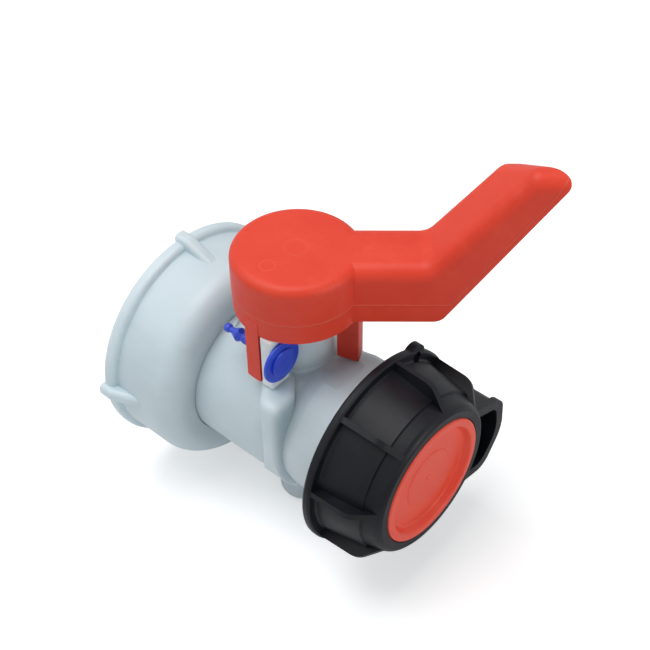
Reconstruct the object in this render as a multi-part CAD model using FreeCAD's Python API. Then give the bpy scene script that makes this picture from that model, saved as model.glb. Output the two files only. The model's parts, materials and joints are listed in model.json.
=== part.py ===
import FreeCAD, Part
import math
import os

# Two inch tank valve: a butterfly disc in a moulded body, turned by a cranked lever.
# Lengths are millimetres. X runs along the pipe towards the outlet, Z up the stem.
# The pieces are drawn about the crossing of pipe and stem, and written out with the
# origin moved to the middle of the union nut's mouth.

V = FreeCAD.Vector
X_AXIS = V(1, 0, 0)
Z_AXIS = V(0, 0, 1)

# ---- pipe and body
bore_radius = 25.0
pipe_wall = 4.7
inlet_length = 38.0          # stem to the end of the inlet tube
waist_radius = 27.2          # short waist between barrel and outlet tube
waist_x = 13.0
outlet_radius = 28.4
shoulder_x = 34.0            # where the outlet thread begins
spigot_length = 24.4         # shoulder to the sealing lip of the outlet
spigot_radius = 27.5         # root of the outlet thread
thread_radius = 29.9         # crest of the outlet thread
neck_radius = 13.0
neck_top = 46.6
neck_fillet = 0.8
table_height = 27.2          # flat that the lever's legs sweep over
table_radius = 26.5
foot_radius = 9.8
foot_bottom = -54.5
foot_round = 5.5
pad_proud = 0.9              # stiffening pad below the rivet lug, beyond the barrel
pad_end_x = 15.6
pad_low = -25.0
pad_round = 3.0

# ---- stem, bushes and seals
stem_radius = 6.0
trunnion_radius = 4.5        # thinner lower end of the stem
trunnion_end = 0.5           # play under the stem
stem_square = 9.0
stem_square_base = 48.9
stem_top = 68.0
bush_wall = 2.0
bush_length = 12.0
bush_play = 0.05
foot_floor = 8.0             # plastic under the lower bush
seal_section = 1.3
seal_clear = 0.02
groove_room = 0.25
seal_land = 1.2              # wall between grooves
clip_thickness = 1.1
clip_width = 2.0
clip_groove = 1.0
clip_slot = 4.4

# ---- butterfly disc
disc_play = 1.9              # disc edge to bore, filled by the seal
disc_edge = 3.6
disc_hub_radius = 10.4
disc_boss = 21.6
disc_bulge = 2.6
cross_pin_radius = 1.6
seal_lip = 0.35
seal_groove_depth = 1.6
seal_cheek = 0.8
hub_seal_width = 2.2
hub_seal_height = 1.2

# ---- gaps between pieces that meet face to face
face_gap = 0.2
side_gap = 0.3

# ---- inlet side
nut_reach = 24.2             # tube's end to the nut's mouth
nut_cover = 10.0             # tube's end to the nut's front
nut_rim_proud = 2.5          # rim beyond the cup
nut_rim_width = 5.4
nut_wall = 6.7
nut_shoulder = 9.5
nut_thread_radius = 37.5
nut_thread_length = 21.0
nut_seat_play = 0.6          # around the slip washer
nut_lip = 3.5
nut_play = 0.4
lug_count = 4
lug_proud = 5.0
lug_length = 21.0
lug_width = 5.4
collar_radius = 34.6
washer_proud = 1.0           # slip washer beyond the collar
collar_thickness = 5.0
washer_thickness = 1.2
gasket_thickness = 3.0

# ---- outlet cap
cap_start = 2.2              # shoulder to the back of the cap
flange_radius = 40.2
flange_thickness = 3.4
cap_wall = 4.5
cap_step_back = 6.8          # nose to the step in the skirt
cap_step_radius = 33.4
cap_step = 1.0
cap_nose_radius = 29.6
cap_thread_play = 0.4
cap_window_radius = 26.0
cap_lip_cover = 1.2          # narrow pocket over the outlet's lip
cap_pocket_radius = 28.6
cap_ring = 2.1
rib_count = 8
rib_first = 78.0
rib_missing = 6
rib_thickness = 2.3
rib_tip_radius = 39.6
rib_bend_back = 8.4          # nose to the bend of a rib
ear_angle = 58.0
ear_reach = 42.6
ear_hole_radius = 2.3
ear_hole_at = 37.6
wing_angle = -16.0
wing_reach = 49.5
wing_half_width = 18.0
wing_wall = 2.4
wing_back = 2.9              # nose to the wing's rim
wing_rim = 3.0
wing_bead = 1.0
insert_rim = 3.2
insert_dish = 3.0
insert_slope = 1.6
insert_ring_radius = 12.0    # small moulding step in the dish
insert_ring_step = 0.6
insert_ring_height = 0.35
insert_flange = 1.6
insert_proud = 0.5
cap_gasket_thickness = 1.8

# ---- lever
head_radius = 23.6
head_bottom = 50.8
head_top = 75.1
head_round = 3.4
lever_wall = 2.6
arm_angle = 40.5
arm_half_width = 12.7
arm_bottom = 51.6
bend_at = 45.5               # upper bend, along the arm
bend_round = 6.0
grip_rise = 50.2             # upper surface, degrees
under_bend_at = 50.5
under_bend_round = 5.0
under_rise = 56.3            # underside, degrees
grip_end = 101.5             # height of the grip's end on its far side
grip_end_slant = 33.0        # the end rises towards the near side, degrees
arm_edge_round = 5.5
grip_end_wall = 9.0          # solid tip beyond the hollow
skirt_line = 59.9
head_draft = 0.3
grip_rib = 2.0
grip_rib_recess = 3.0
rib_places = [32.0, 44.0, 56.0, 68.0]
leg_inner_radius = 15.2
leg_outer_radius = 23.6
leg_bottom = 28.0
leg_width_angle = 16.0
left_leg_angle = -92.0
right_leg_angle = 26.0
boss_radius = 9.5
boss_bottom = 53.0
socket_play = 0.1

# ---- stem hub and rivet
hub_radius = 16.5
hub_bottom = 47.2
hub_top = 50.5
hub_collar_radius = 11.0
lug_near = 3.2               # face of the lug against the leg
lug_far = 8.3                # face of the lug under the rivet's flange
lug_inner_y = -14.6
lug_outer_y = -23.6
lug_bottom = 28.0
rivet_y = -19.0
rivet_z = 39.6
rivet_radius = 2.1
rivet_play = 0.1
rivet_flange_radius = 8.7
rivet_flange_thickness = 1.2
rivet_barb_radius = 2.8
rivet_tail_x = -13.8
pin_head_radius = 5.6
pin_head_thickness = 1.0
pin_radius = 1.2
pin_play = 0.08
pin_tip_x = -18.8
pin_tip_radius = 1.7
pin_bead = 2.4


def corner_path(points):
    """Edges through (x, y) or (x, y, radius) points, each radius rounding its corner."""
    count = len(points)
    legs = []
    for i in range(count):
        here = V(points[i][0], points[i][1], 0)
        before = V(points[i - 1][0], points[i - 1][1], 0)
        after = V(points[(i + 1) % count][0], points[(i + 1) % count][1], 0)
        radius = points[i][2] if len(points[i]) > 2 else 0.0
        if radius <= 0:
            legs.append((here, here, None))
            continue
        back = (before - here).normalize()
        ahead = (after - here).normalize()
        half = math.acos(max(-1.0, min(1.0, back.dot(ahead)))) / 2
        reach = radius / math.tan(half)
        bisector = (back + ahead).normalize()
        middle = here + bisector * (radius / math.sin(half) - radius)
        legs.append((here + back * reach, here + ahead * reach, middle))
    edges = []
    for i in range(count):
        start, end, middle = legs[i]
        if middle is not None:
            edges.append(Part.Arc(start, middle, end).toShape())
        following = legs[(i + 1) % count][0]
        if (following - end).Length > 1e-6:
            edges.append(Part.makeLine(end, following))
    return Part.Wire(edges)


def flat_face(points):
    """Filled outline in the XY plane."""
    return Part.Face(corner_path(points))


def turned_x(points):
    """Solid of revolution about X from (x, radius) points."""
    return flat_face(points).revolve(V(0, 0, 0), X_AXIS, 360)


def turned_z(points):
    """Solid of revolution about Z from (radius, z) points."""
    face = flat_face(points)
    face.rotate(V(0, 0, 0), X_AXIS, 90)
    return face.revolve(V(0, 0, 0), Z_AXIS, 360)


def prism_z(points, low, high):
    """Outline in the XY plane raised from low to high."""
    solid = flat_face(points).extrude(V(0, 0, high - low))
    solid.translate(V(0, 0, low))
    return solid


def rod_x(radius, x_start, x_end, y=0.0, z=0.0):
    return Part.makeCylinder(radius, x_end - x_start, V(x_start, y, z), X_AXIS)


def rod_z(radius, z_start, z_end):
    return Part.makeCylinder(radius, z_end - z_start, V(0, 0, z_start), Z_AXIS)


def ring_x(inner, outer, x_start, x_end, edge=0.0):
    points = [(x_start, inner, edge), (x_end, inner, edge), (x_end, outer, edge), (x_start, outer, edge)]
    return turned_x(points)


def ring_z(inner, outer, z_start, z_end, edge=0.0):
    points = [(inner, z_start, edge), (outer, z_start, edge), (outer, z_end, edge), (inner, z_end, edge)]
    return turned_z(points)


def sector(inner, outer, angle, width, low, high):
    """Block between two radii about Z, width degrees wide around angle."""
    half = math.radians(width / 2)
    middle = math.radians(angle)

    def at(radius, turn):
        return V(radius * math.cos(middle + turn), radius * math.sin(middle + turn), low)

    edges = [
        Part.Arc(at(outer, -half), at(outer, 0), at(outer, half)).toShape(),
        Part.makeLine(at(outer, half), at(inner, half)),
        Part.Arc(at(inner, half), at(inner, 0), at(inner, -half)).toShape(),
        Part.makeLine(at(inner, -half), at(outer, -half)),
    ]
    return Part.Face(Part.Wire(edges)).extrude(V(0, 0, high - low))


# ---- sizes that follow from the ones above
pipe_radius = bore_radius + pipe_wall
outlet_length = shoulder_x + spigot_length
nut_mouth = inlet_length + nut_reach
nut_front = inlet_length - nut_cover
nut_radius = nut_thread_radius + nut_wall
nut_rim_radius = nut_radius + nut_rim_proud
lug_tip_radius = nut_radius + lug_proud
washer_radius = collar_radius + washer_proud
nut_seat_radius = washer_radius + nut_seat_play
gasket_back = outlet_length + face_gap
insert_back = gasket_back + cap_gasket_thickness
cap_back = shoulder_x + cap_start
cap_front = insert_back + insert_flange + side_gap + cap_ring
cap_step_x = cap_front - cap_step_back
cap_bore_radius = thread_radius + cap_thread_play
cap_base_radius = cap_bore_radius + cap_wall
rib_bend_x = cap_front - rib_bend_back
wing_front = cap_front - wing_back
insert_radius = cap_window_radius - side_gap
beyond = 3 * pipe_radius      # outside every piece, for cutting tools
upper_bush_low = neck_top - bush_length
lower_bush_low = foot_bottom + foot_floor
groove_height = 2 * seal_section + groove_room
upper_grooves = [upper_bush_low - (seal_land + groove_height) * (i + 1) for i in range(2)]
lower_groove = lower_bush_low + bush_length + seal_land
clip_base = neck_top + 0.15


def build_body():
    """Barrel, waist, outlet spigot, stem neck, foot and stiffening pad in one moulding."""
    barrel = turned_x([
        (-inlet_length, 0), (-inlet_length, pipe_radius, 0.8), (2.0, pipe_radius, 14),
        (waist_x, waist_radius, 4), (waist_x + 6.5, outlet_radius, 4), (shoulder_x, outlet_radius, 0.8),
        (shoulder_x, spigot_radius), (outlet_length, spigot_radius, 1.0), (outlet_length, 0),
    ])
    table = rod_z(table_radius, table_height, pipe_radius + 2)
    barrel = barrel.cut(table)
    pad_back = -12.0
    pad_front = -pipe_radius - pad_proud
    pad = prism_z([
        (-2.5, pad_back), (-2.5, -17.0, 6), (8.2, pad_front, 7), (pad_end_x, pad_front, 2.5),
        (pad_end_x, -20.0, 6), (9.0, pad_back),
    ], pad_low, table_height)
    pad = pad.makeFillet(pad_round, [e for e in pad.Edges if is_pad_crest(e, pad_front)])
    upper_half = Part.makeBox(beyond, beyond, beyond, V(-beyond / 2, -beyond, 0))
    pad = pad.common(rod_x(-pad_front, -beyond / 2, beyond / 2).fuse(upper_half))
    neck = turned_z([(0, 0), (neck_radius, 0), (neck_radius, neck_top, 0.8), (0, neck_top)])
    neck_root = turned_z([
        (0, 20.0), (neck_radius + neck_fillet, 20.0), (neck_radius + neck_fillet, table_height),
        (neck_radius, table_height + neck_fillet), (0, table_height + neck_fillet),
    ])
    foot = turned_z([
        (0, foot_bottom), (foot_radius, foot_bottom, foot_round), (foot_radius, 0), (0, 0),
    ])
    solid = barrel.fuse([pad, neck, neck_root, foot])
    bore = turned_x([
        (-inlet_length - 1, 0), (-inlet_length - 1, bore_radius), (outlet_length + 1, bore_radius),
        (outlet_length + 1, 0),
    ])
    seats = [
        rod_z(stem_radius + bush_play, 0, neck_top),
        rod_z(trunnion_radius + bush_play, lower_bush_low - trunnion_end, 0),
        rod_z(stem_radius + bush_play + bush_wall, upper_bush_low, neck_top + 1),
        rod_z(trunnion_radius + bush_play + bush_wall, lower_bush_low, lower_bush_low + bush_length),
    ]
    for low in upper_grooves:
        seats.append(groove(stem_radius, low))
    seats.append(groove(trunnion_radius, lower_groove))
    return solid.cut([bore] + seats).removeSplitter()


def is_pad_crest(edge, front):
    """The pad's front edge under the lug, to be rounded."""
    ends = [vertex.Point for vertex in edge.Vertexes]
    on_top = all(abs(point.z - table_height) < 0.01 for point in ends)
    return on_top and all(abs(point.y - front) < 0.01 for point in ends)


def groove(shaft_radius, low):
    """Room for an O-ring around a shaft."""
    return rod_z(shaft_radius + 2 * seal_section + groove_room, low, low + groove_height)


def o_ring(shaft_radius, low):
    """O-ring lying in the groove whose floor is at low, just clear of the shaft."""
    height = low + seal_section + groove_room / 2
    return Part.makeTorus(shaft_radius + seal_clear + seal_section, seal_section, V(0, 0, height), Z_AXIS)


def square_hole(size, low, high):
    """Square prism along the stem, set in line with the lever."""
    half = size / 2
    prism = prism_z([(-half, -half), (half, -half), (half, half), (-half, half)], low, high)
    prism.rotate(V(0, 0, 0), Z_AXIS, arm_angle)
    return prism


def cross_drill(radius):
    """Hole for the pin that ties disc and stem, square to the disc."""
    drill = rod_x(radius, -2 * disc_hub_radius, 2 * disc_hub_radius)
    drill.rotate(V(0, 0, 0), Z_AXIS, arm_angle - 90)
    return drill


def build_stem():
    """Shaft with a thinner lower end, a clip groove and a square head for hub and lever."""
    low = lower_bush_low
    shaft = turned_z([
        (0, low), (trunnion_radius, low, 0.8), (trunnion_radius, -disc_boss - 1.8),
        (stem_radius, -disc_boss - 0.8), (stem_radius, stem_top, 0.8), (0, stem_top),
    ])
    head = rod_z(2 * stem_radius, stem_square_base, stem_top + 1)
    shaft = shaft.cut(head.cut(square_hole(stem_square, stem_square_base - 1, stem_top + 2)))
    clip_top = clip_base + clip_thickness
    shaft = shaft.cut(ring_z(stem_radius - clip_groove, stem_radius + 1, clip_base, clip_top))
    return shaft.cut(cross_drill(cross_pin_radius + seal_clear)).removeSplitter()


def build_clip():
    """Split ring that keeps the stem from being drawn down or out."""
    play = 0.05
    ring = ring_z(stem_radius - clip_groove + play, stem_radius + clip_width, clip_base + play,
                  clip_base + clip_thickness - play)
    half = clip_slot / 2
    return ring.cut(prism_z([(0, -half), (20, -half), (20, half), (0, half)], neck_top - 1, neck_top + 5))


def build_bush(shaft_radius, low):
    """Plain sleeve that carries the stem."""
    inner = shaft_radius + bush_play
    play = 0.02
    return ring_z(inner, inner + bush_wall - play, low + play, low + bush_length - play, 0.3)


def in_line(solid):
    """Turn a piece drawn with the passage shut to the lever's direction."""
    solid.rotate(V(0, 0, 0), Z_AXIS, arm_angle - 90)
    return solid


disc_radius = bore_radius - disc_play


def build_disc():
    """Butterfly disc: thin at the edge, swelling to a hub around the stem."""
    half = disc_edge / 2
    web = rod_x(disc_radius, -half, half)
    bulge = turned_x([
        (-half - disc_bulge, 0), (-half - disc_bulge, disc_radius * 0.55, 6), (0, disc_radius - 1.2),
        (half + disc_bulge, disc_radius * 0.55, 6), (half + disc_bulge, 0),
    ])
    hub = turned_z([
        (0, -disc_boss), (disc_hub_radius - 1.6, -disc_boss), (disc_hub_radius, -disc_boss + 5),
        (disc_hub_radius, disc_boss - 5), (disc_hub_radius - 1.6, disc_boss), (0, disc_boss),
    ])
    solid = web.fuse([bulge, hub.common(rod_x(disc_radius, -disc_radius, disc_radius))])
    solid = solid.cut(rod_z(stem_radius + seal_clear, -bore_radius, bore_radius))
    edge = ring_x(disc_radius - seal_groove_depth, disc_radius + 1, -half + seal_cheek, half - seal_cheek)
    drill = rod_x(cross_pin_radius + seal_clear, -2 * disc_hub_radius, 2 * disc_hub_radius)
    room = stem_radius + hub_seal_width + seal_clear
    ends = [rod_z(room, disc_boss, bore_radius), rod_z(room, -bore_radius, -disc_boss)]
    return in_line(solid.cut([edge, drill] + ends).removeSplitter())


def build_disc_seal():
    """Lip ring in the disc's edge groove, with a collar around the stem at either end."""
    play = 0.05
    side = disc_edge / 2 - seal_cheek - play
    lip_radius = bore_radius - seal_lip
    ring = turned_x([
        (-side, disc_radius - seal_groove_depth + play), (side, disc_radius - seal_groove_depth + play),
        (side, disc_radius, 0.2), (0.5, lip_radius, 0.4), (-0.5, lip_radius, 0.4), (-side, disc_radius, 0.2),
    ])
    collars = []
    for low in (disc_boss + play, -disc_boss - play - hub_seal_height):
        collars.append(rod_z(stem_radius + hub_seal_width, low, low + hub_seal_height))
    ring = ring.fuse(collars).common(rod_x(lip_radius, -bore_radius, bore_radius))
    return in_line(ring.cut(rod_z(stem_radius + seal_clear, -2 * bore_radius, 2 * bore_radius)))


def build_cross_pin():
    end = disc_hub_radius - 0.4
    return in_line(turned_x([
        (-end, 0), (-end, cross_pin_radius, 0.4), (end, cross_pin_radius, 0.4), (end, 0),
    ]))


def build_nut():
    """Union nut: beaded rim, threaded cup, seat for the collar, front lip and four lugs."""
    back = -nut_mouth
    front = -nut_front
    lip_radius = pipe_radius + nut_play
    outer = turned_x([
        (back, 0), (back, nut_rim_radius, 2.2), (back + nut_rim_width, nut_rim_radius, 2.2),
        (back + nut_rim_width + 0.6, nut_radius, 0.6), (front, nut_radius, nut_shoulder), (front, 0),
    ])
    lugs = []
    side = -lug_width / 2
    for i in range(lug_count):
        wedge = Part.Face(Part.makePolygon([
            V(back + 0.6, side, nut_radius - 3), V(back + 0.6, side, lug_tip_radius),
            V(back + 6.0, side, lug_tip_radius), V(back + lug_length, side, nut_radius - 1.0),
            V(back + lug_length, side, nut_radius - 3), V(back + 0.6, side, nut_radius - 3),
        ])).extrude(V(0, lug_width, 0))
        wedge = wedge.makeFillet(1.9, [e for e in wedge.Edges if is_outer_long(e, nut_radius)])
        wedge.rotate(V(0, 0, 0), X_AXIS, 360.0 / lug_count * i)
        lugs.append(wedge)
    solid = outer.fuse(lugs)
    thread_end = back + nut_thread_length
    hollow = turned_x([
        (back - 1, 0), (back - 1, nut_thread_radius), (thread_end, nut_thread_radius),
        (thread_end, nut_seat_radius), (front - nut_lip, nut_seat_radius, 0.8), (front - nut_lip, lip_radius),
        (front + 1, lip_radius), (front + 1, 0),
    ])
    return solid.cut(hollow).removeSplitter()


def is_outer_long(edge, radius):
    """Edges along a lug's crest, to be rounded."""
    ends = [v.Point for v in edge.Vertexes]
    if len(ends) < 2:
        return False
    high = min(ends[0].z, ends[1].z) > radius - 1.5
    return high and abs(ends[0].x - ends[1].x) > 2 and abs(ends[0].y - ends[1].y) < 0.1


collar_face = -inlet_length + collar_thickness


def build_collar():
    """Snap ring on the tube's end that the nut's lip pulls on."""
    return ring_x(pipe_radius + 0.02, collar_radius, -inlet_length, collar_face, 0.5)


def build_slip_washer():
    """Washer between collar and nut lip."""
    start = collar_face
    return ring_x(pipe_radius + 0.2, washer_radius, start, start + washer_thickness, 0.3)


def build_inlet_gasket():
    return ring_x(bore_radius + 0.4, collar_radius, -inlet_length - gasket_thickness, -inlet_length, 0.4)


def wing_outline(reach, half_width, base, corner):
    """Rounded tab outline in the (y, z) plane, drawn towards +y."""
    return [
        (base, -half_width), (reach - 6, -half_width + 2.5, corner), (reach, 0, 16),
        (reach - 6, half_width - 2.5, corner), (base, half_width),
    ]


def wing_prism(reach, half_width, base, corner, x_start, x_end):
    face = flat_face(wing_outline(reach, half_width, base, corner))
    upright = FreeCAD.Rotation(V(0, 1, 0), V(0, 0, 1), V(1, 0, 0), "ZXY")
    face = face.transformGeometry(FreeCAD.Placement(V(x_start, 0, 0), upright).toMatrix())
    solid = face.extrude(V(x_end - x_start, 0, 0))
    solid.rotate(V(0, 0, 0), X_AXIS, wing_angle)
    return solid


def build_cap():
    """Outlet cap: flange with tether ear, ribbed skirt, stepped nose and one hollow wing."""
    skirt = turned_x([
        (cap_back, 0), (cap_back, flange_radius, 1.2), (cap_back + flange_thickness, flange_radius, 1.0),
        (cap_back + flange_thickness, cap_base_radius + 1.4, 1.0), (cap_step_x, cap_step_radius),
        (cap_step_x + 0.2, cap_step_radius - cap_step), (cap_front - 1.2, cap_nose_radius + 1.2, 3.5),
        (cap_front, cap_nose_radius - 0.6, 0.8), (cap_front, 0),
    ])
    ribs = []
    for i in range(rib_count):
        if i == rib_missing:
            continue
        outline = flat_face([
            (cap_back + 1.0, cap_bore_radius + 1.0), (cap_back + 1.0, rib_tip_radius),
            (rib_bend_x, rib_tip_radius - 0.8, 7.0), (cap_front - 0.9, cap_nose_radius + 0.4),
            (cap_front - 0.9, cap_nose_radius - 1.5), (cap_step_x, cap_bore_radius + 1.0),
        ])
        rib = outline.extrude(V(0, 0, rib_thickness))
        rib.translate(V(0, 0, -rib_thickness / 2))
        rib.rotate(V(0, 0, 0), X_AXIS, rib_first + 360.0 / rib_count * i)
        ribs.append(rib)
    ear = rod_x(ear_reach - ear_hole_at, cap_back, cap_back + flange_thickness - 0.4, ear_hole_at)
    ear.rotate(V(0, 0, 0), X_AXIS, ear_angle)
    wing = wing_prism(wing_reach, wing_half_width, 20.0, 8.0, cap_back, wing_front)
    rim_low = wing_front - wing_rim
    bead = wing_prism(wing_reach + wing_bead, wing_half_width + wing_bead, 20.0, 8.0, rim_low, wing_front)
    pocket = wing_prism(wing_reach - wing_wall, wing_half_width - wing_wall, 10.0, 6.0,
                        cap_back + flange_thickness, wing_front + 1)
    wing = wing.fuse(bead).cut(pocket)
    solid = skirt.fuse(ribs + [ear])
    solid = solid.fuse(wing)
    thread_end = outlet_length - cap_lip_cover
    shelf = cap_front - cap_ring
    window = turned_x([
        (cap_back - 1, 0), (cap_back - 1, cap_bore_radius + 1.5), (cap_back + 1.0, cap_bore_radius),
        (thread_end, cap_bore_radius, 0.6), (thread_end, cap_pocket_radius), (shelf, cap_pocket_radius, 0.4),
        (shelf, cap_window_radius), (cap_front + 1, cap_window_radius), (cap_front + 1, 0),
    ])
    hole = rod_x(ear_hole_radius, cap_back - 1, cap_back + flange_thickness + 1, ear_hole_at)
    hole.rotate(V(0, 0, 0), X_AXIS, ear_angle)
    return solid.cut([window, hole]).removeSplitter()


def build_cap_insert():
    """Dished sealing disc held in the cap, with a raised rim and a moulding step."""
    shelf = insert_back + insert_flange
    flange = cap_pocket_radius - side_gap
    face_x = cap_front + insert_proud
    dish = face_x - insert_dish
    inner = insert_radius - insert_rim
    return turned_x([
        (insert_back, 0), (insert_back, flange, 0.4), (shelf, flange, 0.4),
        (shelf, insert_radius, 0.2), (face_x, insert_radius, 0.9), (face_x, inner, 0.9),
        (dish, inner - insert_slope, 1.2), (dish, insert_ring_radius, 0.3),
        (dish + insert_ring_height, insert_ring_radius - insert_ring_step, 0.3),
        (dish + insert_ring_height, 0),
    ])


def build_cap_gasket():
    return ring_x(bore_radius - 0.6, cap_pocket_radius - side_gap, gasket_back,
                  gasket_back + cap_gasket_thickness, 0.3)


def arm_frame(solid):
    """Turn a solid drawn along +X into the lever's direction."""
    solid.rotate(V(0, 0, 0), Z_AXIS, arm_angle)
    return solid


def slope(degrees):
    return math.tan(math.radians(degrees))


def lever_side(inset, overrun):
    """Side view of arm and grip as (along, height) points, the grip running on past its end.

    The top lies inset inside the lever, the underside overrun below it.
    """
    top = head_top - inset
    low = arm_bottom - overrun
    upper_bend = bend_at + inset * slope(grip_rise / 2)
    lower_bend = under_bend_at + overrun * slope(under_rise / 2)
    far = 2 * grip_end
    return [
        (0, low), (lower_bend, low, under_bend_round), (lower_bend + (far - low) / slope(under_rise), far),
        (upper_bend + (far - top) / slope(grip_rise), far), (upper_bend, top, bend_round), (0, top),
    ]


def end_height(y, inset):
    """Height of the grip's slanting end, inset inside the lever."""
    drop = inset / math.cos(math.radians(grip_end_slant))
    return grip_end + (arm_half_width - y) * slope(grip_end_slant) - drop


def lever_prism(inset, overrun, half_width, end_wall):
    """Arm and grip between two sides, cut off end_wall short of the slanting end."""
    face = flat_face(lever_side(inset, overrun))
    face.rotate(V(0, 0, 0), X_AXIS, 90)
    face.translate(V(0, half_width, 0))
    solid = face.extrude(V(0, -2 * half_width, 0))
    above = Part.Face(Part.makePolygon([
        V(-1, -beyond, end_height(-beyond, end_wall)), V(-1, beyond, end_height(beyond, end_wall)),
        V(-1, beyond, 3 * grip_end), V(-1, -beyond, 3 * grip_end), V(-1, -beyond, end_height(-beyond, end_wall)),
    ]))
    return solid.cut(above.extrude(V(3 * grip_end, 0, 0)))


def on_end(point):
    return abs(point.z - end_height(point.y, 0)) < 0.01


def edge_ends(edge):
    return [vertex.Point for vertex in edge.Vertexes]


def is_upper_edge(edge):
    """Long edges of the upper surfaces, and those around the grip's end."""
    ends = edge_ends(edge)
    middle = edge.valueAt((edge.FirstParameter + edge.LastParameter) / 2)
    if middle.x < 1:
        return False
    side = abs(abs(middle.y) - arm_half_width) < 0.01 and abs(ends[0].y - ends[-1].y) < 0.01
    ridge = head_top + max(middle.x - bend_at - bend_round, 0) * slope(grip_rise)
    return side and middle.z > ridge - 2.0 or all(on_end(point) for point in ends)


def build_arm():
    """Arm and cranked grip, drawn along +X."""
    arm = lever_prism(0, 0, arm_half_width, 0)
    return arm.makeFillet(arm_edge_round, [e for e in arm.Edges if is_upper_edge(e)])


def build_channel():
    """Hollow under arm and grip, crossed by stiffening ribs."""
    inner = head_radius - lever_wall - 1.5
    channel = lever_prism(lever_wall, 1.0, arm_half_width - lever_wall, grip_end_wall)
    front = Part.makeBox(beyond, 2 * arm_half_width, 2 * beyond, V(inner, -arm_half_width, 0))
    core = lever_prism(0, -grip_rib_recess, arm_half_width, 0)
    slabs = []
    for along in rib_places:
        slab = Part.makeBox(grip_rib, 2 * arm_half_width, 2 * beyond, V(along, -arm_half_width, 0))
        slabs.append(slab.common(core))
    return channel.common(front).cut(slabs)


def build_head_hollow():
    """Hollow under the head, less the stem boss and four webs."""
    inner = head_radius - lever_wall
    roof = head_top - lever_wall
    hollow = turned_z([(0, head_bottom - 1), (inner, head_bottom - 1), (inner, roof, 1.5), (0, roof)])
    kept = [rod_z(boss_radius, boss_bottom, head_top)]
    web_low = boss_bottom + grip_rib_recess
    for i in range(4):
        web = Part.makeBox(head_radius, grip_rib, head_top - web_low, V(0, -grip_rib / 2, web_low))
        web.rotate(V(0, 0, 0), Z_AXIS, arm_angle + 45 + 90 * i)
        kept.append(web)
    return hollow.cut(kept)


def build_leg(angle):
    """Stop leg: a block under the head's edge, thinned beside the hub."""
    leg = sector(leg_inner_radius, leg_outer_radius, angle, leg_width_angle, leg_bottom, head_bottom + 6)
    relief = sector(leg_inner_radius - 1, head_radius - lever_wall - 0.2, angle, leg_width_angle + 2,
                    hub_bottom - 0.4, head_bottom + 7)
    return leg.cut(relief)


def build_handle():
    """Lever: round head with a hollow underside, cranked grip, two stop legs and a stem socket."""
    head = turned_z([
        (0, head_bottom), (head_radius - head_draft, head_bottom), (head_radius, skirt_line),
        (head_radius, head_top, head_round), (0, head_top),
    ])
    solid = head.fuse(arm_frame(build_arm()))
    solid = solid.cut([build_head_hollow(), arm_frame(build_channel())])
    solid = solid.fuse([build_leg(left_leg_angle), build_leg(right_leg_angle)])
    socket = square_hole(stem_square + 2 * socket_play, head_bottom, stem_top + 0.5)
    hole = rod_x(rivet_radius + rivet_play, -12, lug_near, rivet_y, rivet_z)
    return solid.cut([socket, hole]).removeSplitter()


def build_hub():
    """White driver on the stem's square: plate under the lever's head with the rivet lug."""
    plate = rod_z(hub_radius, hub_bottom, hub_top)
    collar_top = boss_bottom - face_gap
    collar = rod_z(hub_collar_radius, hub_bottom, collar_top)
    lug = prism_z([
        (lug_near, 0), (lug_near, lug_outer_y, 0.8), (lug_far, lug_outer_y, 0.8), (lug_far, 0),
    ], lug_bottom, hub_top)
    under = prism_z([
        (lug_near - 1, 1), (lug_near - 1, lug_inner_y), (lug_far + 1, lug_inner_y), (lug_far + 1, 1),
    ], lug_bottom - 1, hub_bottom)
    solid = plate.fuse([collar, lug.cut(under)])
    room = side_gap + clip_width + stem_radius
    return solid.cut([
        square_hole(stem_square + 2 * socket_play, stem_square_base, collar_top + 1),
        rod_z(stem_radius + socket_play, hub_bottom - 1, stem_square_base),
        rod_z(room, hub_bottom - 1, clip_base + clip_thickness + face_gap),
        rod_x(rivet_radius + rivet_play, lug_near - 1, lug_far + 1, rivet_y, rivet_z),
    ]).removeSplitter()


def at_rivet(solid):
    solid.translate(V(0, rivet_y, rivet_z))
    return solid


flange_x = lug_far + 0.1
rivet_face = flange_x + rivet_flange_thickness


def build_rivet_sleeve():
    """Outer half of the push rivet: flange, tube and barb."""
    inner = pin_radius + pin_play
    barb = rivet_tail_x + 2.2
    return at_rivet(turned_x([
        (rivet_tail_x, inner), (rivet_tail_x, rivet_radius - 0.4), (barb, rivet_barb_radius, 0.5),
        (barb + 1.8, rivet_radius - 0.3, 0.5), (barb + 3.0, rivet_radius), (flange_x, rivet_radius),
        (flange_x, rivet_flange_radius, 0.3), (rivet_face, rivet_flange_radius, 0.5), (rivet_face, inner),
    ]))


def build_rivet_pin():
    """Inner half of the push rivet: round head, shank and the bead that keeps it in."""
    seat = rivet_face + 0.05
    face = seat + pin_head_thickness
    bead_end = pin_tip_x + pin_bead
    return at_rivet(turned_x([
        (pin_tip_x, 0), (pin_tip_x, 0.9), (pin_tip_x + 0.8, pin_tip_radius, 0.6),
        (bead_end, pin_tip_radius, 0.6),
        (bead_end + 0.5, pin_radius), (seat, pin_radius), (seat, pin_head_radius, 0.3),
        (face, pin_head_radius, 0.4), (face, 0),
    ]))


def write(name, shape):
    solids = shape.Solids
    assert solids and shape.isValid(), name
    result = solids[0] if len(solids) == 1 else Part.makeCompound(solids)
    result = result.copy()
    result.translate(V(nut_mouth, 0, 0))
    result.exportStep("parts/" + name + ".step")
    box = result.BoundBox
    spans = (box.XMin, box.XMax, box.YMin, box.YMax, box.ZMin, box.ZMax)
    print(f"{name:20s} {len(solids)} solids, spans", " ".join(f"{value:8.2f}" for value in spans))


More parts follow.
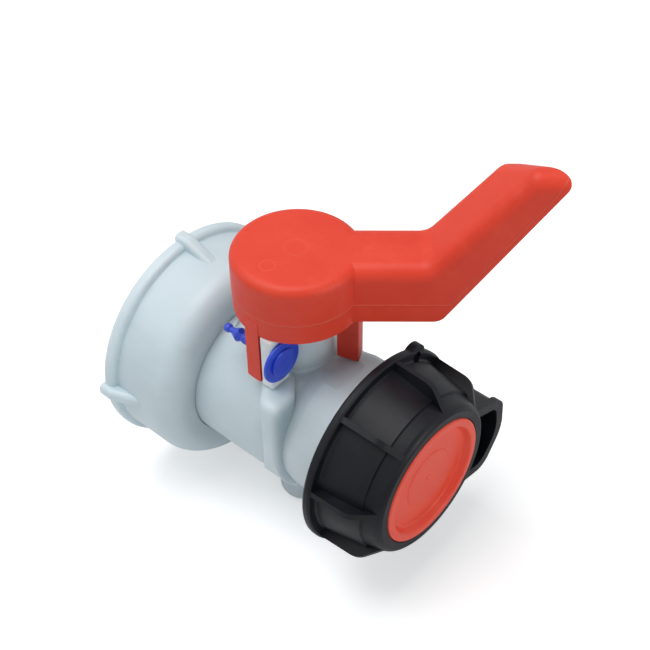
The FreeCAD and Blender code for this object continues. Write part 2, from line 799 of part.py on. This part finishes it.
os.makedirs("parts", exist_ok=True)
write("valve_body", build_body())
write("inlet_collar", build_collar())
write("inlet_gasket", build_inlet_gasket())
write("nut_slip_washer", build_slip_washer())
write("inlet_nut", build_nut())
write("stem", build_stem())
write("stem_clip", build_clip())
write("upper_bush", build_bush(stem_radius, upper_bush_low))
write("lower_bush", build_bush(trunnion_radius, lower_bush_low))
write("upper_stem_seals", Part.makeCompound([o_ring(stem_radius, low) for low in upper_grooves]))
write("lower_stem_seal", o_ring(trunnion_radius, lower_groove))
write("butterfly_disc", build_disc())
write("disc_seal", build_disc_seal())
write("disc_cross_pin", build_cross_pin())
write("stem_hub", build_hub())
write("handle", build_handle())
write("rivet_sleeve", build_rivet_sleeve())
write("rivet_pin", build_rivet_pin())
write("cap_nut", build_cap())
write("cap_insert", build_cap_insert())
write("cap_gasket", build_cap_gasket())
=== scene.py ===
import json
import math

import bpy
import numpy as np
from mathutils import Matrix, Vector


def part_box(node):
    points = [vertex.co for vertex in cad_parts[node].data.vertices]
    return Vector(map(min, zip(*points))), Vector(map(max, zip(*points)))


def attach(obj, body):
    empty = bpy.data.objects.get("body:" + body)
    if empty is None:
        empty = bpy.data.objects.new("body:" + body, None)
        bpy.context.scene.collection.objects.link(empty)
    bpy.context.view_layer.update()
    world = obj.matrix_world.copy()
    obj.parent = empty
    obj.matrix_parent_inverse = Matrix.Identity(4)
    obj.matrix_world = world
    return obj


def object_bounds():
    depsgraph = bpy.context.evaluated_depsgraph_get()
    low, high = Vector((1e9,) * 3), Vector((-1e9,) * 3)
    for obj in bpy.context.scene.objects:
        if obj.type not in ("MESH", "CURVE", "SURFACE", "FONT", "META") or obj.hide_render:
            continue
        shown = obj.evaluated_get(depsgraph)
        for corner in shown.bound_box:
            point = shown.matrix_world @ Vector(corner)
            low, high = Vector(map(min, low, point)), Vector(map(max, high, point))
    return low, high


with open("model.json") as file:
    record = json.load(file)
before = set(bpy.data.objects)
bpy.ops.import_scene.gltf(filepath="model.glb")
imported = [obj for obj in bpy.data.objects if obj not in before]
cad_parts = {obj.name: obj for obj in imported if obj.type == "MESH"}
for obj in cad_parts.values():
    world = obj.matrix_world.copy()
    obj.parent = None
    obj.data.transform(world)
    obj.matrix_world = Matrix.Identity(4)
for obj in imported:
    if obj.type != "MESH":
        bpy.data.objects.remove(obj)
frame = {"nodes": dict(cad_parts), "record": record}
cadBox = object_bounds()
print("frame loaded:", len(frame["nodes"]), "nodes")

# All lengths are metres. The pipe runs along X, the stem stands along Z.

mm = 0.001
_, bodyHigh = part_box("valve_body")
stemLow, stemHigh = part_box("stem")
stemX = (stemLow.x + stemHigh.x) / 2
spigotEnd = bodyHigh.x


class Wire:
    # a socket that takes part in plain arithmetic; each operator adds one Math node

    def __init__(self, finish, socket):
        self.finish = finish
        self.socket = socket

    def math(self, operation, *others, clamp=False):
        sockets = dict(enumerate((self,) + others))
        return self.finish.node("ShaderNodeMath", {"operation": operation, "use_clamp": clamp}, sockets)

    def flipped(self, operation, other):
        return self.finish.node("ShaderNodeMath", {"operation": operation}, {0: other, 1: self})

    def __add__(self, other):
        return self.math("ADD", other)

    def __radd__(self, other):
        return self.flipped("ADD", other)

    def __sub__(self, other):
        return self.math("SUBTRACT", other)

    def __rsub__(self, other):
        return self.flipped("SUBTRACT", other)

    def __mul__(self, other):
        return self.math("MULTIPLY", other)

    def __rmul__(self, other):
        return self.flipped("MULTIPLY", other)

    def __truediv__(self, other):
        return self.math("DIVIDE", other)

    def absolute(self):
        return self.math("ABSOLUTE")

    def larger(self, other):
        return self.math("MAXIMUM", other)

    def clamped(self):
        return self.math("ADD", 0.0, clamp=True)

    def hypot(self, other):
        return (self * self + other * other).math("SQRT")

    def line(self, width):
        # 1 on the zero of this value, falling to 0 at the given width
        return (1 - self.absolute() / width).clamped()


class Finish:
    # one material: a Principled shader and the nodes that vary it

    def __init__(self, name, **constants):
        self.material = bpy.data.materials.new(name)
        self.material.use_nodes = True
        self.tree = self.material.node_tree
        self.shader = self.tree.nodes["Principled BSDF"]
        for key, value in constants.items():
            self.shader.inputs[key.replace("_", " ")].default_value = value
        self.place = self.node("ShaderNodeTexCoord", output="Object")

    def feed(self, socket, value):
        if isinstance(value, Wire):
            self.tree.links.new(value.socket, socket)
        else:
            socket.default_value = value

    def node(self, kind, settings=None, sockets=None, output=0):
        node = self.tree.nodes.new(kind)
        for key, value in (settings or {}).items():
            if key == "stops":
                self.setStops(node.color_ramp, value)
            else:
                setattr(node, key, value)
        for key, value in (sockets or {}).items():
            self.feed(node.inputs[key], value)
        return Wire(self, node.outputs[output])

    def setStops(self, ramp, stops):
        # each stop is (place from 0 to 1, grey value)
        while len(ramp.elements) < len(stops):
            ramp.elements.new(0.5)
        for element, (position, value) in zip(ramp.elements, stops):
            element.position = position
            element.color = (value, value, value, 1)

    def noise(self, scale, detail=3.0, roughness=0.5, stretch=None):
        place = self.place
        if stretch:
            place = self.node("ShaderNodeMapping", {}, {"Vector": place, "Scale": stretch})
        return self.node("ShaderNodeTexNoise", {}, {"Vector": place, "Scale": scale, "Detail": detail,
                                                    "Roughness": roughness})

    def ramp(self, value, *stops):
        return self.node("ShaderNodeValToRGB", {"stops": stops}, {"Fac": value})

    def mix(self, factor, first, second):
        colors = {0: factor, 6: first, 7: second}
        return self.node("ShaderNodeMix", {"data_type": "RGBA"}, colors, output=2)

    def axes(self):
        node = self.tree.nodes.new("ShaderNodeSeparateXYZ")
        self.feed(node.inputs[0], self.place)
        return [Wire(self, output) for output in node.outputs]

    def setColor(self, value):
        self.feed(self.shader.inputs["Base Color"], value)

    def setRoughness(self, value):
        self.feed(self.shader.inputs["Roughness"], value)

    def setBump(self, *layers):
        # each layer is (height in 0..1, depth in metres)
        normal = None
        for height, depth in layers:
            sockets = {"Height": height, "Distance": depth, "Strength": 1.0}
            if normal:
                sockets["Normal"] = normal
            normal = self.node("ShaderNodeBump", {}, sockets)
        self.feed(self.shader.inputs["Normal"], normal)


def rgb(red, green, blue):
    return (red, green, blue, 1.0)


# Scales of the looks are noise cells in a metre, and depths are heights of bumps.
polyethylene = {
    "pale": rgb(0.64, 0.74, 0.79),
    "milky": rgb(0.58, 0.69, 0.73),
    "deep": rgb(0.47, 0.55, 0.55),
    "roughness": 0.36,
    "glow": 0.60,                    # share of the light that wanders inside before it leaves
    "glowReach": 0.010,
    "glowTint": (0.9, 1.0, 1.0),
    "cloudScale": 22.0,
    "cloudDepth": 0.25 * mm,
    "streakScale": 60.0,
    "grainScale": 1400.0,
    "grainDepth": 0.012 * mm,
    "scuffScale": 160.0,
    "scuffDepth": 0.01 * mm,
}


def makePolyethylene(name):
    # milky, slightly uneven plastic that lets a little light through, with flow clouds and fine scuffs
    look = polyethylene
    finish = Finish(name, Subsurface_Weight=look["glow"], Subsurface_Scale=look["glowReach"], IOR=1.51)
    finish.shader.inputs["Subsurface Radius"].default_value = look["glowTint"]
    clouds = finish.noise(look["cloudScale"], detail=4.0, roughness=0.55)
    streaks = finish.noise(look["streakScale"], roughness=0.6, stretch=(0.25, 1.0, 1.0))
    grain = finish.noise(look["grainScale"], detail=2.0)
    scuffs = finish.noise(look["scuffScale"], detail=6.0, roughness=0.7, stretch=(1.0, 0.2, 1.0))
    tone = finish.mix(finish.ramp(clouds, (0.35, 0.0), (0.68, 1.0)), look["pale"], look["milky"])
    tone = finish.mix(finish.ramp(streaks, (0.56, 0.0), (0.80, 0.35)), tone, look["deep"])
    marks = finish.ramp(scuffs, (0.60, 0.0), (0.72, 1.0))
    finish.setColor(tone)
    finish.setRoughness(look["roughness"] + clouds * 0.10 + marks * 0.12)
    finish.setBump((clouds, look["cloudDepth"]), (grain, look["grainDepth"]), (marks, look["scuffDepth"]))
    return finish.material


lever = {
    "top": rgb(0.76, 0.058, 0.026),
    # lighter red of handling wear, also the colour of the painted highlight along the seam
    "wearAndSeamHighlight": rgb(0.84, 0.125, 0.070),
    "deep": rgb(0.64, 0.030, 0.013),
    "roughness": 0.42,
    "gloss": 0.30,
    "azimuth": math.radians(40.5),
    "partingHeight": 59.3 * mm,
    "partingBend": 53.4 * mm,        # along the arm, where the seam turns up the grip
    "partingWidth": 0.50 * mm,
    "partingDepth": 0.22 * mm,
    "gripRise": math.radians(56.6),
    "headTop": 75.0 * mm,
    "topBand": 1.5 * mm,             # the marks on the head fade out this far below its top
    "topFade": 2.5 * mm,
    "sinkRadius": 4.2 * mm,
    "pinRadius": 2.7 * mm,           # ejector pin's mark, off the stem by pinOff
    "pinOff": (-0.8 * mm, -13.6 * mm),
    "ringWidth": 0.45 * mm,
    "ringDepth": 0.04 * mm,
    "cloudScale": 30.0,
    "cloudDepth": 0.25 * mm,
    "leatherScale": 520.0,
    "leatherDepth": 0.020 * mm,
    "grainScale": 1900.0,
    "grainDepth": 0.010 * mm,
    "rubScale": 90.0,
}


def makeLeverRed(name):
    # satin red plastic: seam where the mould halves met, also painted lighter as a painted highlight, sink over
    # the boss, ejector rings, pale handling wear
    look = lever
    finish = Finish(name, Specular_IOR_Level=look["gloss"], IOR=1.49)
    x, y, z = finish.axes()
    along = (x - stemX) * math.cos(look["azimuth"]) + y * math.sin(look["azimuth"])
    rising = (along - look["partingBend"]) * math.tan(look["gripRise"]) + look["partingHeight"]
    seam = (z - rising.larger(look["partingHeight"])).line(look["partingWidth"])
    clouds = finish.noise(look["cloudScale"], detail=4.0, roughness=0.6)
    grain = finish.noise(look["grainScale"], detail=2.0)
    leather = finish.noise(look["leatherScale"], detail=2.0, roughness=0.6)
    rubs = finish.noise(look["rubScale"], detail=7.0, roughness=0.72)
    onTop = (z - (look["headTop"] - look["topBand"])) / look["topFade"]
    onTop = finish.ramp(onTop, (0.35, 0.0), (0.65, 1.0))
    sinkOut = (x - stemX).hypot(y)
    pinOut = (x - stemX - look["pinOff"][0]).hypot(y - look["pinOff"][1])
    rings = (pinOut - look["pinRadius"]).line(look["ringWidth"])
    rings = rings + (sinkOut - look["sinkRadius"]).line(look["ringWidth"] * 3) * 0.4
    rings = (rings * onTop).clamped()
    wear = finish.ramp(rubs, (0.50, 0.0), (0.78, 1.0))
    tone = finish.mix(finish.ramp(clouds, (0.30, 0.0), (0.75, 0.55)), look["top"], look["deep"])
    # random pale handling wear, plus a painted highlight: the seam line is painted lighter as if its ridge
    # caught the light
    tone = finish.mix((wear * 0.32 + seam * 0.80).clamped(), tone, look["wearAndSeamHighlight"])
    tone = finish.mix(rings * 0.35, tone, look["wearAndSeamHighlight"])
    finish.setColor(tone)
    finish.setRoughness(look["roughness"] + wear * 0.12 + grain * 0.06 - seam * 0.10)
    finish.setBump((seam, look["partingDepth"]), (rings, look["ringDepth"]), (leather, look["leatherDepth"]),
                   (grain, look["grainDepth"]), (clouds, look["cloudDepth"]))
    return finish.material


insert = {
    "face": rgb(0.82, 0.045, 0.012),
    "bloom": rgb(0.84, 0.12, 0.060),
    "roughness": 0.33,
    "ringScale": 420.0,
    "ringWobble": 2.2,
    "ringDepth": 0.05 * mm,
    "wobbleScale": 70.0,
    "grainScale": 1600.0,
    "grainDepth": 0.006 * mm,
}


def makeInsertRed(name):
    # glossier red disc with flow rings about the gate and a dull bloom in its dish
    look = insert
    finish = Finish(name, Subsurface_Weight=0.05, Subsurface_Scale=0.002, IOR=1.49)
    finish.shader.inputs["Subsurface Radius"].default_value = (1.0, 0.2, 0.1)
    _, y, z = finish.axes()
    wobble = finish.noise(look["wobbleScale"], roughness=0.6)
    ringPlace = y.hypot(z) * look["ringScale"] + wobble * look["ringWobble"]
    rings = finish.node("ShaderNodeTexNoise", {"noise_dimensions": "1D"},
                        {"W": ringPlace, "Scale": 1.0, "Detail": 3.0})
    bloom = finish.ramp(wobble, (0.42, 0.0), (0.66, 1.0))
    grain = finish.noise(look["grainScale"], detail=2.0)
    tone = finish.mix(bloom * 0.35 + rings * 0.18, look["face"], look["bloom"])
    finish.setColor(tone)
    finish.setRoughness(look["roughness"] + bloom * 0.12 + rings * 0.05)
    finish.setBump((rings, look["ringDepth"]), (grain, look["grainDepth"]))
    return finish.material


blackPlastic = {
    "dark": rgb(0.003, 0.0035, 0.006),
    "dusty": rgb(0.015, 0.017, 0.023),
    "roughness": 0.34,
    "gloss": 0.20,
    "patchScale": 45.0,
    "patchDepth": 0.12 * mm,
    "grainScale": 1300.0,
    "grainDepth": 0.022 * mm,
    "streakScale": 240.0,
    "streakDepth": 0.014 * mm,
    "speckScale": 900.0,
}


def makeBlack(name):
    # satin black plastic with a fine etched grain, patches of dust and short rubbed streaks
    look = blackPlastic
    finish = Finish(name, IOR=1.50, Specular_IOR_Level=look["gloss"])
    patches = finish.noise(look["patchScale"], detail=5.0, roughness=0.6)
    grain = finish.noise(look["grainScale"], roughness=0.6)
    streaks = finish.noise(look["streakScale"], detail=4.0, roughness=0.7, stretch=(0.3, 1.0, 1.0))
    specks = finish.noise(look["speckScale"], detail=2.0, roughness=0.4)
    dust = finish.ramp(patches, (0.42, 0.0), (0.75, 1.0))
    speckMask = finish.ramp(specks, (0.70, 0.0), (0.76, 1.0))
    tone = finish.mix((dust * 0.55 + speckMask * 0.35).clamped(), look["dark"], look["dusty"])
    finish.setColor(tone)
    finish.setRoughness(look["roughness"] + dust * 0.16 + streaks * 0.10)
    finish.setBump((grain, look["grainDepth"]), (streaks, look["streakDepth"]), (patches, look["patchDepth"]))
    return finish.material


blueNylon = {
    "face": rgb(0.014, 0.050, 0.60),
    "pale": rgb(0.050, 0.120, 0.72),
    "roughness": 0.28,
    "cloudScale": 140.0,
    "cloudDepth": 0.06 * mm,
    "grainScale": 2200.0,
    "grainDepth": 0.008 * mm,
}


def makeBlue(name):
    # glossy blue nylon, faintly clouded
    look = blueNylon
    finish = Finish(name, Subsurface_Weight=0.08, Subsurface_Scale=0.002)
    clouds = finish.noise(look["cloudScale"], detail=4.0, roughness=0.6)
    grain = finish.noise(look["grainScale"], detail=2.0)
    finish.setColor(finish.mix(finish.ramp(clouds, (0.40, 0.0), (0.72, 0.8)), look["face"], look["pale"]))
    finish.setRoughness(look["roughness"] + clouds * 0.12)
    finish.setBump((clouds, look["cloudDepth"]), (grain, look["grainDepth"]))
    return finish.material


acetal = {
    "face": rgb(0.80, 0.85, 0.86),
    "shade": rgb(0.70, 0.76, 0.77),
    "roughness": 0.38,
    "cloudScale": 80.0,
    "cloudDepth": 0.08 * mm,
    "grainScale": 1800.0,
    "grainDepth": 0.008 * mm,
}


def makeAcetal(name):
    # dense white plastic with faint flow marks
    look = acetal
    finish = Finish(name, Subsurface_Weight=0.15, Subsurface_Scale=0.003)
    clouds = finish.noise(look["cloudScale"], detail=4.0, roughness=0.6)
    grain = finish.noise(look["grainScale"], detail=2.0)
    finish.setColor(finish.mix(finish.ramp(clouds, (0.35, 0.0), (0.7, 1.0)), look["face"], look["shade"]))
    finish.setRoughness(look["roughness"] + clouds * 0.10)
    finish.setBump((clouds, look["cloudDepth"]), (grain, look["grainDepth"]))
    return finish.material


filledPlastic = {
    "face": rgb(0.36, 0.38, 0.39),
    "fibre": rgb(0.50, 0.52, 0.53),
    "roughness": 0.50,
    "fibreScale": 900.0,
    "fibreDepth": 0.02 * mm,
    "cloudScale": 60.0,
}


def makeFilled(name):
    # glass-filled plastic: short pale fibres lying in a grey ground
    look = filledPlastic
    finish = Finish(name)
    fibres = finish.noise(look["fibreScale"], roughness=0.7, stretch=(1.0, 1.0, 0.12))
    clouds = finish.noise(look["cloudScale"])
    finish.setColor(finish.mix(finish.ramp(fibres, (0.50, 0.0), (0.66, 1.0)), look["face"], look["fibre"]))
    finish.setRoughness(look["roughness"] + clouds * 0.12)
    finish.setBump((fibres, look["fibreDepth"]))
    return finish.material


sealRubber = {
    "face": rgb(0.018, 0.018, 0.018),
    "bloom": rgb(0.065, 0.065, 0.062),
    "roughness": 0.62,
    "bloomScale": 110.0,
    "bloomDepth": 0.05 * mm,
    "grainScale": 1500.0,
    "grainDepth": 0.02 * mm,
}


def makeRubber(name):
    # matt black elastomer with a greyish bloom
    look = sealRubber
    finish = Finish(name)
    bloom = finish.noise(look["bloomScale"], detail=5.0, roughness=0.65)
    grain = finish.noise(look["grainScale"], detail=2.0)
    finish.setColor(finish.mix(finish.ramp(bloom, (0.42, 0.0), (0.74, 1.0)), look["face"], look["bloom"]))
    finish.setRoughness(look["roughness"] + bloom * 0.15)
    finish.setBump((grain, look["grainDepth"]), (bloom, look["bloomDepth"]))
    return finish.material


stainless = {
    "face": rgb(0.60, 0.60, 0.60),
    "dull": rgb(0.44, 0.44, 0.45),
    "roughness": 0.26,
    "streakScale": 1200.0,
    "streakDepth": 0.01 * mm,
}


def makeSteel(name):
    # drawn stainless wire and strip, streaked along its length
    look = stainless
    finish = Finish(name, Metallic=1.0)
    streaks = finish.noise(look["streakScale"], roughness=0.6, stretch=(0.06, 1.0, 1.0))
    finish.setColor(finish.mix(streaks, look["face"], look["dull"]))
    finish.setRoughness(look["roughness"] + streaks * 0.16)
    finish.setBump((streaks, look["streakDepth"]))
    return finish.material


slotFinishes = {
    "hdpe": makePolyethylene("milkyPolyethylene"),
    "red_lever": makeLeverRed("leverRed"),
    "red_insert": makeInsertRed("insertRed"),
    "black_cap": makeBlack("satinBlack"),
    "blue_rivet": makeBlue("blueNylon"),
    "white_acetal": makeAcetal("whiteAcetal"),
    "grey_stem": makeFilled("filledPlastic"),
    "seal": makeRubber("sealRubber"),
    "steel": makeSteel("stainless"),
}

for part in frame["record"]["subparts"]:
    node = frame["nodes"][part["node"]]
    node.data.materials.clear()
    node.data.materials.append(slotFinishes[part["material_slot"]])
print("finishes:", len(slotFinishes))


def gridPiece(name, points, body, slot, loopRows=False, loopColumns=False, caps=False):
    # quads between neighbouring points of a (rows, columns, 3) array; a loop joins last to first,
    # and caps close the first and last row with one face each
    rows, columns = points.shape[:2]
    index = np.arange(rows * columns).reshape(rows, columns)
    if loopRows:
        index = np.vstack([index, index[:1]])
    if loopColumns:
        index = np.hstack([index, index[:, :1]])
    quads = np.stack([index[:-1, :-1], index[:-1, 1:], index[1:, 1:], index[1:, :-1]], axis=-1)
    faces = quads.reshape(-1, 4).tolist()
    if caps:
        faces += [index[0, :columns][::-1].tolist(), index[-1, :columns].tolist()]
    mesh = bpy.data.meshes.new(name)
    mesh.from_pydata(points.reshape(-1, 3).tolist(), [], faces)
    mesh.shade_smooth()
    mesh.update()
    piece = bpy.data.objects.new(name, mesh)
    bpy.context.scene.collection.objects.link(piece)
    mesh.materials.append(slotFinishes[slot])
    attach(piece, body)


ridgeOutline = {
    "rises": [0.0, 0.5, 0.94, 1.0, 1.0, 0.94, 0.5, 0.0],    # share of the height, from foot to foot
    "levelShare": 0.55,              # part of the crest that is level
    "startWidth": 0.35,              # share of the width at the very start of the run-in
    "sink": 0.15 * mm,               # how deep the foot lies in the wall
}


def threadRidge(name, shape, body, slot):
    # a rounded trapezoid carried along a right-hand helix about X: each row is its outline at one angle,
    # moved along X by pitch times turns, its height easing from nothing to full over the run-in
    turns = shape["turns"]
    turn = np.linspace(0.0, turns, int(turns * shape["stepsPerTurn"]) + 1)
    ease = np.clip(np.minimum(turn, turns - turn) / shape["runIn"], 0.0, 1.0)
    ease = np.sin(ease * math.pi / 2)
    foot, crest = shape["footWidth"] / 2, shape["crestWidth"] / 2
    half = np.array([foot, (foot + crest) / 2, crest, crest * ridgeOutline["levelShare"]])
    across = np.concatenate([-half, half[::-1]])
    rise = np.array(ridgeOutline["rises"])
    step = shape["crestRadius"] - shape["rootRadius"]
    sink = -ridgeOutline["sink"] * math.copysign(1.0, step)
    radius = shape["rootRadius"] + sink + (step - sink) * rise[None, :] * ease[:, None]
    angle = 2 * math.pi * (turn + shape["startTurn"])
    width = ridgeOutline["startWidth"] + (1 - ridgeOutline["startWidth"]) * ease[:, None]
    along = shape["startX"] + shape["pitch"] * turn[:, None] + across[None, :] * width
    points = np.stack([along, radius * np.cos(angle)[:, None], radius * np.sin(angle)[:, None]], axis=-1)
    if step > 0:
        points = points[:, ::-1]
    gridPiece(name, points, body, slot, loopColumns=True, caps=True)


# Thread of the outlet spigot, S60x6.
outletThread = {
    "pitch": 6 * mm,
    "rootRadius": 27.5 * mm,
    "crestRadius": 29.8 * mm,
    "footWidth": 4.4 * mm,
    "crestWidth": 1.9 * mm,
    "startX": spigotEnd - 20.6 * mm,
    "turns": 2.9,
    "startTurn": 0.0,
    "stepsPerTurn": 96,
    "runIn": 0.12,                   # in turns, at both ends
}
threadRidge("spigot_thread", outletThread, "valve", "hdpe")

# Thread inside the cap: it lies in the spigot's groove, half a pitch along.
capThread = dict(outletThread)
capThread.update({
    "rootRadius": 30.3 * mm,
    "crestRadius": 28.3 * mm,
    "footWidth": 3.0 * mm,
    "crestWidth": 1.3 * mm,
    "startX": outletThread["startX"] + 0.5 * outletThread["pitch"],
    "turns": 2.2,
})
threadRidge("cap_thread", capThread, "cap", "black_cap")

# Thread inside the union nut, S75x6.
nutThread = dict(outletThread)
nutThread.update({
    "rootRadius": 37.5 * mm,
    "crestRadius": 34.9 * mm,
    "startX": 3.4 * mm,
    "turns": 2.3,
    "startTurn": 0.2,
})
threadRidge("nut_thread", nutThread, "union", "hdpe")


def turnedPiece(name, profile, centre, axis, body, slot, steps):
    # a profile of (out, along) pairs carried round an axis: each row is the profile at one angle
    outs, alongs = np.array(profile).T
    angle = np.linspace(0, 2 * math.pi, steps, endpoint=False)
    along = Vector(axis).normalized()
    side = along.orthogonal().normalized()
    other = along.cross(side)
    ring = np.cos(angle)[:, None] * np.array(side) + np.sin(angle)[:, None] * np.array(other)
    points = np.array(centre) + ring[:, None, :] * outs[None, :, None] + alongs[None, :, None] * np.array(along)
    gridPiece(name, points, body, slot, loopRows=True)


# Mark that the mould's gate left in the middle of the insert's dish.
gateMark = {
    "radius": 1.6 * mm,
    "height": 0.35 * mm,
    "sink": 0.1 * mm,                # how deep its wall goes into the insert
    "dishDepth": 3.0 * mm,
    "centreStep": 0.35 * mm,         # the dish's middle stands this much higher
    "rings": 7,
    "steps": 40,
}


def easedDome(shape):
    # a low dome: height falls as the cosine of the way out, then the wall drops to the sink depth
    reach = np.linspace(0.02, 1.0, shape["rings"])
    dome = [(shape["radius"] * r, shape["height"] * math.cos(r * math.pi / 2)) for r in reach]
    return dome + [(shape["radius"] * 1.02, -shape["sink"])]


_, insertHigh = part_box("cap_insert")
gateX = insertHigh.x - gateMark["dishDepth"] + gateMark["centreStep"]
turnedPiece("insert_gate", easedDome(gateMark), (gateX, 0, 0), (1, 0, 0), "cap_seal", "red_insert",
            gateMark["steps"])
print("threads and marks made")

stage = {
    "floorSize": 3.0,
    "floorColor": rgb(0.90, 0.90, 0.90),
    "floorLift": rgb(0.42, 0.42, 0.42),    # light of its own, for the eye alone
    "worldColor": rgb(0.92, 0.96, 1.0),
    "worldPower": 0.28,
    "aim": (stemX, 0.0, 0.02),
}

# Each lamp's place is counted from the foot of the stem's axis.
lamps = {
    "topLamp": {"off": (-0.15, -0.10, 0.80), "size": 0.70, "power": 4.8},
    "leftLamp": {"off": (-0.60, -0.45, 0.45), "size": 0.50, "power": 0.75},
    "frontLamp": {"off": (0.35, -0.75, 0.35), "size": 0.60, "power": 0.20},
    "outletLamp": {"off": (0.70, 0.10, 0.28), "size": 0.30, "power": 1.3},
}


def areaLamp(name, look):
    # round soft lamp that faces the stage's aim
    light = bpy.data.lights.new(name, "AREA")
    light.shape = "DISK"
    light.size = look["size"]
    light.energy = look["power"]
    holder = bpy.data.objects.new(name, light)
    bpy.context.scene.collection.objects.link(holder)
    place = Vector((stemX, 0.0, 0.0)) + Vector(look["off"])
    holder.location = place
    holder.rotation_euler = (Vector(stage["aim"]) - place).to_track_quat("-Z", "Y").to_euler()


def whiteBackdrop(name, color):
    # plain pale surface that takes a shadow, lifted towards white for the eye alone
    finish = Finish(name, Roughness=0.9, Emission_Strength=1.0)
    finish.setColor(color)
    seen = finish.node("ShaderNodeLightPath", output="Is Camera Ray")
    finish.feed(finish.shader.inputs["Emission Color"], finish.mix(seen, rgb(0, 0, 0), stage["floorLift"]))
    finish.shader.inputs["Specular IOR Level"].default_value = 0.0
    return finish.material


def makeFloor():
    # flat sheet under the lowest point of the object; seen by the camera it shows white with a faint shadow
    low = cadBox[0][2]
    half = stage["floorSize"] / 2
    mesh = bpy.data.meshes.new("floor")
    corners = [(-half, -half, low), (half, -half, low), (half, half, low), (-half, half, low)]
    mesh.from_pydata(corners, [], [(0, 1, 2, 3)])
    floor = bpy.data.objects.new("floor", mesh)
    bpy.context.scene.collection.objects.link(floor)
    mesh.materials.append(whiteBackdrop("paleFloor", stage["floorColor"]))


def makeWorld():
    # soft sky-white light on the object, plain white for the eye
    world = bpy.data.worlds.new("studio")
    bpy.context.scene.world = world
    world.use_nodes = True
    nodes, links = world.node_tree.nodes, world.node_tree.links
    nodes.clear()
    rays = nodes.new("ShaderNodeLightPath")
    light = nodes.new("ShaderNodeBackground")
    light.inputs["Color"].default_value = stage["worldColor"]
    light.inputs["Strength"].default_value = stage["worldPower"]
    seen = nodes.new("ShaderNodeBackground")
    seen.inputs["Color"].default_value = (1, 1, 1, 1)
    seen.inputs["Strength"].default_value = 1.0
    choose = nodes.new("ShaderNodeMixShader")
    output = nodes.new("ShaderNodeOutputWorld")
    direct = rays.outputs["Is Camera Ray"]
    for kind in ("Is Transmission Ray", "Is Glossy Ray"):
        either = nodes.new("ShaderNodeMath")
        either.operation = "MAXIMUM"
        links.new(direct, either.inputs[0])
        links.new(rays.outputs[kind], either.inputs[1])
        direct = either.outputs[0]
    links.new(direct, choose.inputs[0])
    links.new(light.outputs[0], choose.inputs[1])
    links.new(seen.outputs[0], choose.inputs[2])
    links.new(choose.outputs[0], output.inputs[0])


makeFloor()
makeWorld()
for lampName, lampLook in lamps.items():
    areaLamp(lampName, lampLook)

cameraSet = {
    "stand": (0.2920, -0.2403, 0.3525),
    "lookAt": (0.0568, 0.0203, 0.0200),
    "lens": 69.12,
    "sensor": 36.0,
    "near": 0.01,
    "tilt": math.radians(-0.94),
}


def makeCamera():
    data = bpy.data.cameras.new("camera")
    data.lens = cameraSet["lens"]
    data.sensor_width = cameraSet["sensor"]
    data.clip_start = cameraSet["near"]
    camera = bpy.data.objects.new("camera", data)
    bpy.context.scene.collection.objects.link(camera)
    stand = Vector(cameraSet["stand"])
    facing = (Vector(cameraSet["lookAt"]) - stand).to_track_quat("-Z", "Y").to_matrix().to_4x4()
    camera.matrix_world = Matrix.Translation(stand) @ facing @ Matrix.Rotation(cameraSet["tilt"], 4, "Z")
    bpy.context.scene.camera = camera


makeCamera()
bpy.context.scene.view_settings.view_transform = "Standard"
print("stage set")
